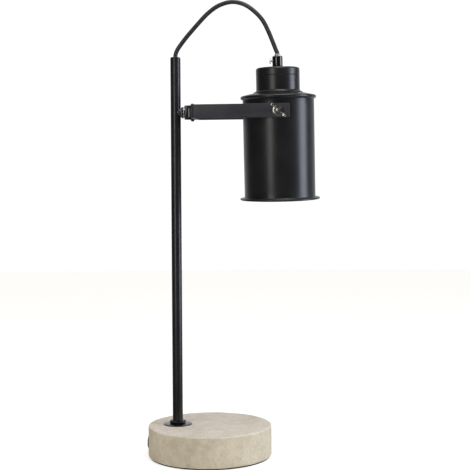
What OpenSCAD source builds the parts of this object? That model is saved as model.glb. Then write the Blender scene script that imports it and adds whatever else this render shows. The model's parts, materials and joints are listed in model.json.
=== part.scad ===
// Table lamp: a concrete disc, a thin pole, a flat steel yoke on an upright hinge pin, and a spun
// metal shade that tilts between the yoke's arms and is clamped there by two wing nuts.
// Origin: centre of the underside. +X runs from the pole towards the head, +Z is up, millimetres.

/* [Base] */
// Diameter of the concrete disc
base_d = 150; // [130:1:190]
// Height of the concrete disc
base_h = 36; // [32:1:60]
// Radius of the disc's upper and lower edges
base_edge = 1.6; // [0.5:0.1:3]
// Thickness of the rubber pad under the disc
pad_h = 1.5; // [1:0.1:4]
// Distance from the disc's centre back to the pole's axis
pole_back = 39.5; // [30:0.5:42]
// Diameter of the pocket under the pole
pocket_d = 54; // [46:1:60]
// Thickness of the concrete that is left above the pocket
pocket_roof = 14; // [8:1:20]
// Height of the cord bushing's axis above the table
bushing_z = 15.5; // [12:0.5:17]
// Diameter of the cord bushing's flange
bushing_d = 14; // [12.5:0.5:16]

/* [Pole] */
// Diameter of the pole
pole_d = 12.5; // [11:0.1:16]
// Wall thickness of the pole
pole_wall = 1.25; // [0.8:0.05:1.6]
// Height of the pole's top above the table
pole_top = 486; // [450:1:600]
// Diameter of the foot plate
foot_d = 35; // [28:1:44]
// Thickness of the foot plate
foot_h = 1.6; // [1:0.1:4]
// Width of the foot nut over its flats
foot_nut_w = 17; // [16:0.5:22]
// Height of the foot nut
foot_nut_h = 3.6; // [2:0.1:8]
// Diameter of the cord
cord_d = 5.3; // [4:0.1:6]

/* [Hinge] */
// Height of the stud that carries the fork, above the table
stud_z = 418.5; // [380:0.1:425]
// Distance from the pole's axis to the hinge pin
hinge_reach = 20.6; // [20:0.1:34]
// Angle by which the fork is turned on its stud
fork_roll = 6; // [0:0.1:12]
// Diameter of the stud
stud_d = 6; // [4:0.1:7]
// Width of the stud nut over its flats
stud_nut_w = 12; // [10:0.5:14]
// Thickness of the stud nut
stud_nut_t = 3; // [2:0.1:5]
// Diameter of the washer between the nut and the fork
stud_washer_d = 13.2; // [10:0.1:18]
// Width of the fork
fork_w = 9.6; // [8:0.1:12]
// Height of the fork at the pin
fork_h = 17.4; // [15:0.1:24]
// Height of the fork at the washer
fork_root_h = 17; // [12:0.1:20]
// Height of the slot between the fork's lugs
slot_h = 10.6; // [8:0.1:12]
// Diameter of the hinge pin
pin_d = 3.2; // [2.5:0.1:5]
// Diameter of the hinge pin's heads
pin_head_d = 4.9; // [4:0.1:8]
// Height of the hinge pin's heads
pin_head_h = 2.3; // [1:0.1:4]

/* [Yoke] */
// Distance from the hinge pin to the shade's axis
arm_len = 105; // [98:0.1:140]
// Height of the yoke's strip
strip_h = 16.2; // [15:0.1:20]
// Thickness of the yoke's strip
strip_t = 2.5; // [1.5:0.1:4]
// Outer radius of the yoke's bends
bend_r = 6; // [4.5:0.1:12]
// Length of the arms past the shade's axis
arm_tail = 13; // [9:0.5:24]
// Clearance between the shade's rim and the arms
rim_gap = 0.9; // [0.8:0.1:5]

/* [Shade] */
// Diameter of the shade's body
shade_d = 86.8; // [80:0.1:105]
// Wall thickness of the shade
shade_wall = 1.2; // [0.8:0.1:1.8]
// Distance from the pivot down to the lip's underside
shade_drop = 107.1; // [96:1:140]
// Distance that the rim stands out from the body
rim_out = 2.6; // [1.5:0.1:3.2]
// Distance that the lip stands out from the body
lip_out = 5.5; // [4:0.1:9]
// Distance from the pivot up to the shade's flat top
top_z = 22.4; // [21:0.1:32]
// Lean of the shade on its pivot
shade_lean = 0.7; // [-20:0.1:20]
// Diameter of the pivot bolts
bolt_d = 5; // [4:0.1:6]
// Span of a wing nut
wing_span = 23; // [20:0.5:30]
// Turn of the near wing nut about its bolt
wing_turn = 43; // [0:1:180]

/* [Neck] */
// Diameter of the neck cup
neck_d = 53; // [50.5:0.1:58]
// Height of the neck cup
neck_h = 30; // [28:0.1:44]
// Distance that the cup's foot flares out
flare = 3.1; // [2:0.1:3.3]
// Radius of the cup's upper edge
neck_edge = 2.8; // [1.5:0.1:5]
// Diameter of the cord grip
grip_d = 12.5; // [11.5:0.1:16]
// Height of the cord grip
grip_h = 14; // [13:0.5:20]
// Diameter of the bulb
bulb_d = 60; // [45:1:62]
// Length of the bulb with its cap
bulb_len = 104; // [98:1:108]

/* [Hidden] */
$fn = 96;

PAINT = [0.10, 0.10, 0.11];
DARK_STEEL = [0.22, 0.22, 0.24];
NICKEL = [0.75, 0.75, 0.74];
CONCRETE = [0.72, 0.69, 0.64];
RUBBER = [0.07, 0.07, 0.07];
BRASS = [0.78, 0.62, 0.32];

EPS = 0.01;          // overshoot of a cut past a face
FIT = 0.05;          // radial clearance of a fit
GAP = 0.05;          // gap between faces that slide on each other
POUR = 0.2;          // clearance of the pole in the cast hole

base_top = pad_h + base_h;
pocket_top = base_top - pocket_roof;
pole_r = pole_d / 2;
pole_bore_r = pole_r - pole_wall;
lead_r = cord_d / 2;
lead_hole_r = lead_r + 0.1;
lock_washer_h = 1.5;
lock_nut_h = 6;
pole_foot = pocket_top - lock_washer_h - lock_nut_h - 2;
bush_flange_h = 0.8;

// Stack along the stud, measured from the pole's axis
nut_x = pole_r + 0.65;
washer_x = nut_x + stud_nut_t;
washer_t = 1.2;
fork_x = washer_x + washer_t;
// The same places in the hinge's frame, whose origin is the pin
fork_back = hinge_reach - fork_x;
barrel_r = 4.2;
slot_back = barrel_r + 0.6;
web_x = barrel_r - 1.8;
knuckle_h = slot_h - 2 * 0.1;
notch_w = fork_w + 8.4;

// Stack outwards from the shade's axis
shade_r = shade_d / 2;
shade_in_r = shade_r - shade_wall;
rim_r = shade_r + rim_out;
lip_r = shade_r + lip_out;
arm_in = rim_r + rim_gap;
arm_out = arm_in + strip_t;
spacer_out = arm_in - GAP;
clamp_washer_t = 1.2;
clamp_in = arm_out + GAP;
wing_in = clamp_in + clamp_washer_t + GAP;
wing_hub_h = 7;
bolt_end = wing_in + wing_hub_h + 1;
bolt_head_t = 2.4;
bolt_head_r = 5;

// Levels above the pivot, in the shade's frame
neck_r = neck_d / 2;
neck_wall = 1.2;
neck_top = top_z + neck_h;
grip_top = neck_top + grip_h;
grip_r = grip_d / 2;
collet_r = 3.5;
collet_top = grip_top + 2.5;
collet_foot = grip_top - 3;
screw_z = grip_top - 5.2;
nipple_r = 5;
nipple_top = neck_top + 6;
nipple_foot = top_z + 14;
nipple_nut_h = 2.6;
sleeve_r = 20;
sleeve_bore_r = 13.6;
sleeve_foot = top_z - 26;
shoulder_h = 2;
core_h = 6;
core_z = top_z + shoulder_h;
holder_top = core_z + core_h + 15;
contact_h = 1.6;
bulb_top = core_z - contact_h;
cap_foot = bulb_top - 26;

// Route of the free cord: offsets from the pole's mouth up to the top of the loop, then shares of
// the way from there down to the cord grip, along each axis
RISE = [
    [0, 0, 0], [1, 0, 6], [4.5, 0, 12.5], [13.5, -1, 24], [28.5, -1, 41],
    [40.5, -2, 53], [54, -3, 62], [70.5, -3.5, 66]
];
FALL = [
    [0, 0, 0], [0.261, 0.163, 0.052], [0.478, 0.489, 0.18], [0.667, 0.652, 0.352],
    [0.793, 0.814, 0.554], [0.892, 0.814, 0.756], [0.965, 0.814, 0.914], [1, 1, 1]
];
RISE_START = [0, 0, 1];   // direction of the cord out of the pole
TOP_DIR = [1, 0, 0];      // direction of the cord at the top of its loop
RING_STEPS = 4;           // rings of the tube for each stretch of the route
TUBE_SIDES = 12;

// ---------------------------------------------------------------- helpers

// Points of an arc about [x, y]
function arc(x, y, r, a0, a1, n = 6) =
    [for (i = [0:n]) let (a = a0 + (a1 - a0) * i / n) [x + r * cos(a), y + r * sin(a)]];

function unit(v) = v / norm(v);

// Point and direction of a smooth curve between two points with given tangents
function bow(p, q, u, v, t) =
    (2*t*t*t - 3*t*t + 1) * p + (t*t*t - 2*t*t + t) * u + (3*t*t - 2*t*t*t) * q + (t*t*t - t*t) * v;
function bow_dir(p, q, u, v, t) =
    (6*t*t - 6*t) * p + (3*t*t - 4*t + 1) * u + (6*t - 6*t*t) * q + (3*t*t - 2*t) * v;

// Tangent at each point of a route whose end directions are given
function tangents(route, start, end) = let (n = len(route) - 1) [
    for (i = [0:n])
        i == 0 ? unit(start) * norm(route[1] - route[0])
        : i == n ? unit(end) * norm(route[n] - route[n - 1])
        : (route[i + 1] - route[i - 1]) / 2
];

// A round tube of radius r swept along a route, as one polyhedron
module tube(route, start, end, r) {
    n = len(route) - 1;
    slopes = tangents(route, start, end);
    stations = concat(
        [for (i = [0:n - 1], k = [0:RING_STEPS - 1]) [i, k / RING_STEPS]], [[n - 1, 1]]);
    rings = [
        for (s = stations)
            let (
                i = s[0],
                here = bow(route[i], route[i + 1], slopes[i], slopes[i + 1], s[1]),
                ahead = unit(bow_dir(route[i], route[i + 1], slopes[i], slopes[i + 1], s[1])),
                side = unit(cross(ahead, [0, 1, 0])),
                up = cross(side, ahead)
            )
            [for (k = [0:TUBE_SIDES - 1]) let (a = 360 * k / TUBE_SIDES)
                here + r * (cos(a) * side + sin(a) * up)]
    ];
    last = len(rings) - 1;
    points = [for (ring = rings) for (p = ring) p];
    walls = [
        for (i = [0:last - 1], k = [0:TUBE_SIDES - 1])
            let (a = i * TUBE_SIDES + k, b = i * TUBE_SIDES + (k + 1) % TUBE_SIDES)
            [a, b, b + TUBE_SIDES, a + TUBE_SIDES]
    ];
    foot = [[for (k = [TUBE_SIDES - 1:-1:0]) k]];
    head = [[for (k = [0:TUBE_SIDES - 1]) last * TUBE_SIDES + k]];
    polyhedron(points, concat(foot, walls, head), convexity = 6);
}

// A ring or washer standing on z = 0
module ring(r_out, r_in, h) {
    difference() {
        cylinder(r = r_out, h = h);
        translate([0, 0, -EPS]) cylinder(r = r_in, h = h + 2 * EPS);
    }
}

// A hexagon nut with chamfered corners, standing on z = 0, with a width of w over its flats
module hex_nut(w, h, bore_r) {
    corner = w / 2 / cos(30);
    drop = (corner - w / 2) * 0.6;
    difference() {
        intersection() {
            cylinder(r = corner, h = h, $fn = 6);
            rotate_extrude() polygon([
                [0, 0], [w / 2, 0], [corner, drop], [corner, h - drop], [w / 2, h], [0, h]
            ]);
        }
        translate([0, 0, -EPS]) cylinder(r = bore_r, h = h + 2 * EPS);
    }
}

// Puts a child that is modelled along +Z on the lamp's pole axis, at a height
module on_pole(z) {
    translate([-pole_back, 0, z]) children();
}

// The stud's frame: origin on the pole's axis, +X along the stud, turned by the fork's roll
module on_stud() {
    on_pole(stud_z) rotate([fork_roll, 0, 0]) children();
}

// Turns a child that is modelled along +Z to lie along +X, x from the frame's origin
module along_x(x) {
    translate([x, 0, 0]) rotate([0, 90, 0]) children();
}

// The hinge's frame: origin at the middle of the pin
module on_hinge() {
    on_stud() translate([hinge_reach, 0, 0]) children();
}

// The shade's frame: origin where the pivot's axis crosses the shade's axis
module on_shade() {
    on_hinge() translate([arm_len, 0, 0]) rotate([0, -shade_lean, 0]) children();
}

// Turns a child that is modelled along +Z to point outwards along the pivot, side -1 near, +1 far
module outwards(side, r) {
    rotate([-90 * side, 0, 0]) translate([0, 0, r]) children();
}

// ---------------------------------------------------------------- base

module base_block() {
    r = base_d / 2;
    e = base_edge;
    color(CONCRETE) difference() {
        translate([0, 0, pad_h]) rotate_extrude() polygon(concat(
            [[0, 0]],
            arc(r - e, e, e, -90, 0),
            arc(r - e, base_h - e, e, 0, 90),
            [[0, base_h]]
        ));
        on_pole(pad_h - EPS) cylinder(d = pocket_d, h = pocket_top - pad_h + EPS);
        on_pole(pocket_top - EPS) cylinder(r = pole_r + POUR, h = pocket_roof + 2 * EPS);
        translate([0, 0, bushing_z]) rotate([0, -90, 0])
            translate([0, 0, pole_back]) cylinder(r = bushing_sleeve_r + FIT, h = r);
    }
}

bushing_sleeve_r = bushing_d / 2 - 2.2;
bushing_proud = 1;

module base_pad() {
    color(RUBBER) cylinder(d = base_d - 2 * base_edge, h = pad_h);
}

// Grommet in the back of the disc, where the mains lead would enter
module cord_bushing() {
    r = base_d / 2;
    inner = pole_back + pocket_d / 2 - 2;
    color(RUBBER) translate([0, 0, bushing_z]) rotate([0, -90, 0]) difference() {
        union() {
            difference() {
                translate([0, 0, r - 1]) cylinder(d = bushing_d, h = 1 + bushing_proud);
                rotate([0, 90, 0]) translate([0, 0, -bushing_d]) cylinder(r = r, h = 2 * bushing_d);
            }
            translate([0, 0, inner]) cylinder(r = bushing_sleeve_r, h = r - inner + 0.5);
        }
        translate([0, 0, inner - EPS]) cylinder(r = lead_hole_r + 0.2, h = r);
    }
}

module foot_plate() {
    color(PAINT) on_pole(base_top) difference() {
        rotate_extrude() polygon([
            [0, 0], [foot_d / 2, 0], [foot_d / 2, foot_h * 0.6],
            [foot_d / 2 - foot_h * 0.4, foot_h], [0, foot_h]
        ]);
        translate([0, 0, -EPS]) cylinder(r = pole_r + FIT, h = foot_h + 2 * EPS);
    }
}

module foot_nut() {
    color(PAINT) on_pole(base_top + foot_h) rotate([0, 0, 12])
        hex_nut(foot_nut_w, foot_nut_h, pole_r + FIT);
}

// ---------------------------------------------------------------- pole

module pole() {
    color(PAINT) difference() {
        on_pole(pole_foot) ring(pole_r, pole_bore_r, pole_top - bush_flange_h - pole_foot);
        on_stud() along_x(0) cylinder(r = stud_d / 2 + FIT, h = pole_d);
    }
}

module pole_washer() {
    color(NICKEL) on_pole(pocket_top - lock_washer_h) ring(13, pole_r + FIT, lock_washer_h);
}

module pole_lock_nut() {
    color(NICKEL) on_pole(pocket_top - lock_washer_h - lock_nut_h)
        hex_nut(pole_d + 5.5, lock_nut_h, pole_r + FIT);
}

// Plastic bush that guards the cord at the pole's mouth
module pole_bush() {
    sleeve_h = 8;
    color(RUBBER) on_pole(pole_top - bush_flange_h) difference() {
        union() {
            cylinder(r = pole_r - 0.3, h = bush_flange_h);
            translate([0, 0, -sleeve_h]) cylinder(r = pole_bore_r - FIT, h = sleeve_h + EPS);
        }
        translate([0, 0, -sleeve_h - EPS])
            cylinder(r = lead_hole_r, h = sleeve_h + bush_flange_h + 2 * EPS);
    }
}

lead_foot = pad_h + 8.5;
terminal = [14, 10, 6];

module pole_lead() {
    color(RUBBER) on_pole(lead_foot) cylinder(r = lead_r, h = pole_top - lead_foot);
}

// Block in the pocket that joins the pole's lead to the mains lead
module lead_terminal() {
    color("white") on_pole(lead_foot - terminal[2] / 2) cube(terminal, center = true);
}

// ---------------------------------------------------------------- stud, fork and hinge pin

module stud() {
    start = pole_bore_r + 0.15;
    color(NICKEL) on_stud() along_x(start)
        cylinder(d = stud_d, h = hinge_reach - slot_back - 1.5 - start);
}

// Spacer that hugs the pole with a hollowed end
module saddle() {
    r = stud_nut_w / 2 - 0.4;
    color(DARK_STEEL) difference() {
        on_stud() along_x(0) ring(r, stud_d / 2 + FIT, nut_x);
        on_pole(stud_z - r - 2) cylinder(r = pole_r, h = 2 * r + 4);
    }
}

module stud_nut() {
    color(DARK_STEEL) on_stud() along_x(nut_x) hex_nut(stud_nut_w, stud_nut_t, stud_d / 2 + FIT);
}

module stud_washer() {
    color(NICKEL) on_stud() along_x(washer_x) ring(stud_washer_d / 2, stud_d / 2 + FIT, washer_t);
}

// Fork whose two lugs hold the hinge pin; its height grows from the washer to the pin
module fork() {
    r = fork_w / 2;
    color(PAINT) on_hinge() difference() {
        intersection() {
            union() {
                translate([-fork_back, -r, -fork_h]) cube([fork_back, fork_w, 2 * fork_h]);
                cylinder(r = r, h = 2 * fork_h, center = true);
            }
            rotate([90, 0, 0]) linear_extrude(2 * fork_w, center = true) polygon([
                [-fork_back, -fork_root_h / 2], [-slot_back, -fork_h / 2], [2 * r, -fork_h / 2],
                [2 * r, fork_h / 2], [-slot_back, fork_h / 2], [-fork_back, fork_root_h / 2]
            ]);
        }
        translate([-slot_back, -fork_w, -slot_h / 2]) cube([4 * r, 2 * fork_w, slot_h]);
        cylinder(r = pin_d / 2 + FIT, h = 2 * fork_h, center = true);
        along_x(-fork_back - EPS)
            cylinder(r = stud_d / 2 + FIT, h = fork_back - slot_back - 1 + EPS);
    }
}

// Rivet through the fork and the yoke's knuckle, domed at both ends
module hinge_pin() {
    half = fork_h / 2 + FIT;
    tip = half + pin_head_h;
    color(DARK_STEEL) on_hinge() rotate_extrude() polygon(concat(
        [[0, -tip]],
        [for (a = [15:15:90]) [pin_head_d / 2 * sin(a), -half - pin_head_h * cos(a)]],
        [[pin_d / 2, -half], [pin_d / 2, half]],
        [for (a = [90:-15:15]) [pin_head_d / 2 * sin(a), half + pin_head_h * cos(a)]],
        [[0, tip]]
    ));
}

// ---------------------------------------------------------------- yoke

// Plan of a strip bent into a U that opens towards +X, out to half width w
module u_plan(back, w, r, front) {
    translate([back + r, -w]) square([front - back - r, 2 * w]);
    translate([back, -w + r]) square([r + EPS, 2 * (w - r)]);
    for (s = [-1, 1]) translate([back + r, s * (w - r)]) circle(r);
}

module yoke() {
    front = arm_len + arm_tail;
    inner_r = bend_r - strip_t;
    color(PAINT) on_hinge() difference() {
        union() {
            difference() {
                linear_extrude(strip_h, center = true) difference() {
                    u_plan(web_x, arm_out, bend_r, front);
                    u_plan(web_x + strip_t, arm_in, inner_r, front + 1);
                }
                for (s = [-1, 1])
                    translate([web_x - 1, -notch_w / 2, s > 0 ? knuckle_h / 2 : -strip_h])
                        cube([strip_t + 2, notch_w, strip_h - knuckle_h / 2]);
            }
            translate([0, 0, -knuckle_h / 2]) cylinder(r = barrel_r, h = knuckle_h);
            translate([0, -barrel_r, -knuckle_h / 2]) cube([web_x + 1, 2 * barrel_r, knuckle_h]);
        }
        cylinder(r = pin_d / 2 + FIT, h = strip_h, center = true);
        translate([arm_len, 0, 0]) rotate([90, 0, 0])
            cylinder(r = bolt_d / 2 + FIT, h = 3 * arm_out, center = true);
    }
}

// ---------------------------------------------------------------- shade

hole_r = sleeve_r + 0.3;
flat_r = neck_r + flare + 0.4;
lip_foot = -shade_drop;
lip_t = 2.4;
lip_turn = 2.2;
rim_t = 4.4;
rim_fall = 11.5;

module shade() {
    w = shade_wall;
    rim_z = top_z - (rim_r - flat_r) * tan(rim_fall);
    lip_top = lip_foot + lip_t;
    turn_x = shade_r + lip_turn;
    turn_z = lip_top + lip_turn;
    color(PAINT) on_shade() difference() {
        rotate_extrude() polygon(concat(
            [[hole_r, top_z], [flat_r, top_z]],
            arc(rim_r - rim_t / 2, rim_z - rim_t / 2, rim_t / 2, 70, -70, 8),
            [[shade_r, rim_z - rim_t - 0.6], [shade_r, turn_z]],
            arc(turn_x, turn_z, lip_turn, 180, 270),
            arc(lip_r - lip_t / 2, lip_foot + lip_t / 2, lip_t / 2, 90, -90, 8),
            [[lip_r - lip_t, lip_foot], [lip_r - lip_t - 0.6, lip_top - w]],
            arc(turn_x, turn_z, lip_turn + w, 270, 180),
            [[shade_in_r, rim_z - rim_t], [shade_in_r + rim_out * 0.5, rim_z - rim_t / 2],
             [shade_in_r + rim_out * 0.5, rim_z - w - 0.6],
             [flat_r, top_z - w], [hole_r, top_z - w]]
        ));
        rotate([90, 0, 0]) cylinder(r = bolt_d / 2 + FIT, h = 2 * shade_d, center = true);
    }
}

// Cup over the lampholder, with a flared foot, one fine groove and a rounded top
module neck_cup() {
    in_r = neck_r - neck_wall;
    foot_t = 0.9;
    groove = 0.45;
    groove_z = neck_top - 9.5;
    color(PAINT) on_shade() rotate_extrude() polygon(concat(
        [[in_r, top_z], [neck_r + flare, top_z]],
        arc(neck_r + flare, top_z + foot_t + flare, flare, 270, 180),
        [[neck_r, groove_z - groove], [neck_r - groove, groove_z], [neck_r, groove_z + groove]],
        arc(neck_r - neck_edge, neck_top - neck_edge, neck_edge, 0, 90),
        [[nipple_r + FIT, neck_top], [nipple_r + FIT, neck_top - neck_wall]],
        arc(neck_r - neck_edge, neck_top - neck_edge, neck_edge - neck_wall, 90, 0)
    ));
}

module cord_grip() {
    chamfer = 0.9;
    color(RUBBER) on_shade() difference() {
        rotate_extrude() polygon([
            [lead_hole_r, neck_top], [grip_r, neck_top], [grip_r, grip_top - chamfer],
            [grip_r - chamfer, grip_top], [lead_hole_r, grip_top]
        ]);
        translate([0, 0, neck_top - EPS])
            cylinder(r = nipple_r + FIT, h = nipple_top - neck_top + 0.3);
        translate([0, 0, collet_foot]) cylinder(r = collet_r + FIT, h = grip_top - collet_foot + EPS);
        translate([0, 0, screw_z]) rotate([0, -90, 0]) cylinder(r = 1.5 + FIT, h = grip_d);
    }
}

// Clear plastic collet that shows above the grip
module grip_collet() {
    color([0.85, 0.87, 0.88, 0.8]) on_shade() rotate_extrude() polygon([
        [lead_hole_r, collet_foot + FIT], [collet_r, collet_foot + FIT],
        [collet_r, collet_top - 0.7], [collet_r - 0.5, collet_top], [lead_hole_r, collet_top]
    ]);
}

// Nylon thumb screw that clamps the cord in the grip
module grip_screw() {
    head_x = grip_r + 1.7;
    head_r = 3.6;
    head_t = 1.8;
    notches = 12;
    color([0.92, 0.93, 0.92]) on_shade() translate([0, 0, screw_z]) rotate([0, -90, 0]) {
        translate([0, 0, lead_hole_r]) cylinder(r = 1.5, h = head_x - lead_hole_r + EPS);
        translate([0, 0, head_x]) difference() {
            cylinder(r = head_r, h = head_t);
            for (k = [0:notches - 1]) rotate([0, 0, 360 * k / notches])
                translate([head_r + 0.15, 0, -EPS]) cylinder(r = 0.5, h = head_t + 2 * EPS);
        }
    }
}

module nipple() {
    color(BRASS) on_shade() translate([0, 0, nipple_foot])
        ring(nipple_r, nipple_r - 1.4, nipple_top - nipple_foot);
}

module nipple_nut() {
    color(BRASS) on_shade() translate([0, 0, neck_top - neck_wall - nipple_nut_h])
        hex_nut(14, nipple_nut_h, nipple_r + FIT);
}

module head_lead() {
    color(RUBBER) on_shade() translate([0, 0, core_z + core_h])
        cylinder(r = lead_r, h = collet_top - core_z - core_h);
}

// ---------------------------------------------------------------- lampholder and bulb

module holder_cap() {
    wall = 2;
    foot_r = sleeve_r - 0.5;
    core_top = core_z + core_h;
    head_r = 9;
    color([0.13, 0.13, 0.13]) on_shade() rotate_extrude() polygon(concat(
        [[foot_r, core_top]],
        arc(head_r, holder_top - 9, foot_r - head_r, 0, 40, 4),
        [[head_r, holder_top], [nipple_r + FIT, holder_top], [nipple_r + FIT, holder_top - wall],
         [head_r - 1, holder_top - wall]],
        arc(head_r, holder_top - 9, foot_r - head_r - wall, 40, 0, 4),
        [[foot_r - wall, core_top]]
    ));
}

// Insulating core that carries the contacts
module holder_core() {
    color("ivory") on_shade() translate([0, 0, core_z]) cylinder(r = sleeve_r - 0.5, h = core_h);
}

// Centre tab and side tab, two pieces
module holder_contacts() {
    color(BRASS) on_shade() {
        translate([0, 0, core_z - contact_h]) cylinder(r = 3.5, h = contact_h);
        translate([8, -2, core_z - contact_h]) cube([4.5, 4, contact_h]);
    }
}

// Threaded sleeve whose shoulder rests on the shade's flat top
module holder_sleeve() {
    thread = 0.35;
    pitch = 2.5;
    turns = floor((top_z - 1 - sleeve_foot) / pitch) - 1;
    color([0.13, 0.13, 0.13]) on_shade() rotate_extrude() polygon(concat(
        [[sleeve_bore_r, sleeve_foot], [sleeve_r - thread, sleeve_foot]],
        [for (k = [0:turns - 1], side = [0, 1])
            [sleeve_r - (side == 0 ? 0 : thread), sleeve_foot + 1 + (k + side / 2) * pitch]],
        [[sleeve_r, sleeve_foot + 1 + turns * pitch], [sleeve_r, top_z],
         [neck_r - neck_wall - 1.2, top_z], [neck_r - neck_wall - 1.2, core_z],
         [sleeve_bore_r, core_z]]
    ));
}

module shade_ring() {
    h = 4;
    color([0.13, 0.13, 0.13]) on_shade() translate([0, 0, top_z - shade_wall - h])
        ring(sleeve_r + 6, sleeve_r + FIT, h);
}

// Screw cap of the bulb, with its tip contact and rolled thread
module bulb_cap() {
    r = 13.2;
    roll = 0.5;
    pitch = 3.6;
    color(NICKEL) on_shade() rotate_extrude() polygon(concat(
        [[0, cap_foot], [r - 0.4, cap_foot]],
        [for (k = [0:4], side = [0, 1])
            [r - side * roll, cap_foot + 3 + (k + side / 2) * pitch]],
        [[r - 1, bulb_top - 3], [5, bulb_top - 1.2], [4, bulb_top], [0, bulb_top]]
    ));
}

// Bulb: a ball that narrows into the cap
module bulb_glass() {
    ball = bulb_d / 2;
    foot = bulb_top - bulb_len;
    mid = foot + ball;
    neck = 12.6;
    wall = 1;
    color([0.96, 0.95, 0.92]) on_shade() rotate_extrude() polygon(concat(
        [[neck, cap_foot - GAP], [neck + 0.6, cap_foot - 6]],
        arc(0, mid, ball, 42, -90, 22),
        arc(0, mid, ball - wall, -90, 42, 22),
        [[neck + 0.6 - wall, cap_foot - 6], [neck - wall, cap_foot - GAP]]
    ));
}

// ---------------------------------------------------------------- pivot

module pivot_bolts() {
    head_out = shade_in_r - 0.35;
    color(NICKEL) on_shade() for (side = [-1, 1]) outwards(side, head_out - bolt_head_t) {
        cylinder(r = bolt_head_r, h = bolt_head_t);
        cylinder(d = bolt_d, h = bolt_end - head_out + bolt_head_t);
    }
}

// Spacers between the shade and the arms, hollowed to sit on the shade
module pivot_spacers() {
    color(PAINT) on_shade() for (side = [-1, 1]) difference() {
        outwards(side, shade_r - 1) ring(6, bolt_d / 2 + FIT, spacer_out - shade_r + 1);
        cylinder(r = shade_r, h = 20, center = true);
    }
}

module clamp_washers() {
    color(NICKEL) on_shade() for (side = [-1, 1]) outwards(side, clamp_in)
        ring(6.6, bolt_d / 2 + FIT, clamp_washer_t);
}

// Wing nut standing on z = 0: a tapered hub with two rounded blades
module wing_nut() {
    foot_r = 5;
    head_r = 4;
    blade_t = 1.6;
    lobe_r = 3.2;
    lobe = [wing_span / 2 - lobe_r, 7.6];
    difference() {
        union() {
            cylinder(r1 = foot_r, r2 = head_r, h = wing_hub_h);
            for (s = [0, 180]) rotate([0, 0, s]) rotate([90, 0, 0])
                linear_extrude(blade_t, center = true) {
                    translate(lobe) circle(lobe_r);
                    polygon([
                        [2, 0.8], [foot_r, 0.8], [lobe[0] + 1.6, lobe[1] - 2.77],
                        [lobe[0] - 1.6, lobe[1] + 2.77], [2, wing_hub_h - 0.6]
                    ]);
                }
        }
        translate([0, 0, -EPS]) cylinder(r = bolt_d / 2 + FIT, h = 4 * wing_hub_h);
    }
}

module wing_nut_near() {
    color(NICKEL) on_shade() outwards(-1, wing_in) rotate([0, 0, -wing_turn]) wing_nut();
}

module wing_nut_far() {
    color(NICKEL) on_shade() outwards(1, wing_in) rotate([0, 0, 60]) wing_nut();
}

// ---------------------------------------------------------------- free cord

// Where the cord meets the top of the collet, and the direction in which it goes in
function stud_turn(p) = [
    p[0],
    p[1] * cos(fork_roll) - p[2] * sin(fork_roll),
    p[1] * sin(fork_roll) + p[2] * cos(fork_roll)
];
AXIS_UP = [-sin(shade_lean), 0, cos(shade_lean)];
FALL_END = [-pole_back, 0, stud_z]
    + stud_turn([hinge_reach + arm_len, 0, 0] + (collet_top + GAP) * AXIS_UP);
FALL_DIR = -stud_turn(AXIS_UP);
mouth = [-pole_back, 0, pole_top];
loop_top = mouth + RISE[len(RISE) - 1];
loop_drop = FALL_END - loop_top;

module cord_rise() {
    color(RUBBER) tube([for (p = RISE) mouth + p], RISE_START, TOP_DIR, lead_r);
}

module cord_fall() {
    color(RUBBER) tube(
        [for (f = FALL) loop_top + [f[0] * loop_drop[0], f[1] * loop_drop[1], f[2] * loop_drop[2]]],
        TOP_DIR, FALL_DIR, lead_r
    );
}

// ---------------------------------------------------------------- nodes

base_block();
base_pad();
cord_bushing();
foot_plate();
foot_nut();
pole();
pole_washer();
pole_lock_nut();
pole_bush();
pole_lead();
lead_terminal();
stud();
saddle();
stud_nut();
stud_washer();
fork();
hinge_pin();
yoke();
shade();
neck_cup();
cord_grip();
grip_collet();
grip_screw();
nipple();
nipple_nut();
head_lead();
holder_cap();
holder_core();
holder_contacts();
holder_sleeve();
shade_ring();
bulb_cap();
bulb_glass();
pivot_bolts();
pivot_spacers();
clamp_washers();
wing_nut_near();
wing_nut_far();
cord_rise();
cord_fall();
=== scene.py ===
import json
import math

import bpy
from mathutils import Matrix, Vector


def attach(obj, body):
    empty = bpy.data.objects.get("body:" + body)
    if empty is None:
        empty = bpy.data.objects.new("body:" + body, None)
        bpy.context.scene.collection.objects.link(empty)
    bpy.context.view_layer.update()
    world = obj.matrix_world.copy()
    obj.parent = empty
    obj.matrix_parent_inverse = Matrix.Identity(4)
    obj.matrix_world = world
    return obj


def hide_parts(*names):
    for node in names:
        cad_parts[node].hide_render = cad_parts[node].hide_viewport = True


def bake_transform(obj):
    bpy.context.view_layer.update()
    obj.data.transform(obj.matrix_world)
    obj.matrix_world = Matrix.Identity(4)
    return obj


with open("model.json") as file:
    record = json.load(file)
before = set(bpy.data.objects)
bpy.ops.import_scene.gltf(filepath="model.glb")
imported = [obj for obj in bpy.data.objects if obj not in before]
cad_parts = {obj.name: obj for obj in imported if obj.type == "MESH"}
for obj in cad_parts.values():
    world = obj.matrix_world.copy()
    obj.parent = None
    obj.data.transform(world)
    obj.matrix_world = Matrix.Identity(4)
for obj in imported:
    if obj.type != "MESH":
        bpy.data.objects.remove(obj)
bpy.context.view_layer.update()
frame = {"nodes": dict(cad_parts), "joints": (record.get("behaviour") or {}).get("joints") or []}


# ---------------------------------------------------------------- camera
# A camera at table height, level, 1.1 m in front of the lamp, with a lens of 69 mm. It stands
# 0.4 degrees out of plumb.
CAMERA_AT = Vector((0.0882, -1.1006, 0.2684))
CAMERA_AIM = Vector((-0.0509, 0.9987, 0.0))
CAMERA_TURN = math.radians(-0.40)
CAMERA_FILM, CAMERA_LENS = 36, 69.16
bpy.ops.object.camera_add(location=CAMERA_AT)
camera = bpy.context.object
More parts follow.
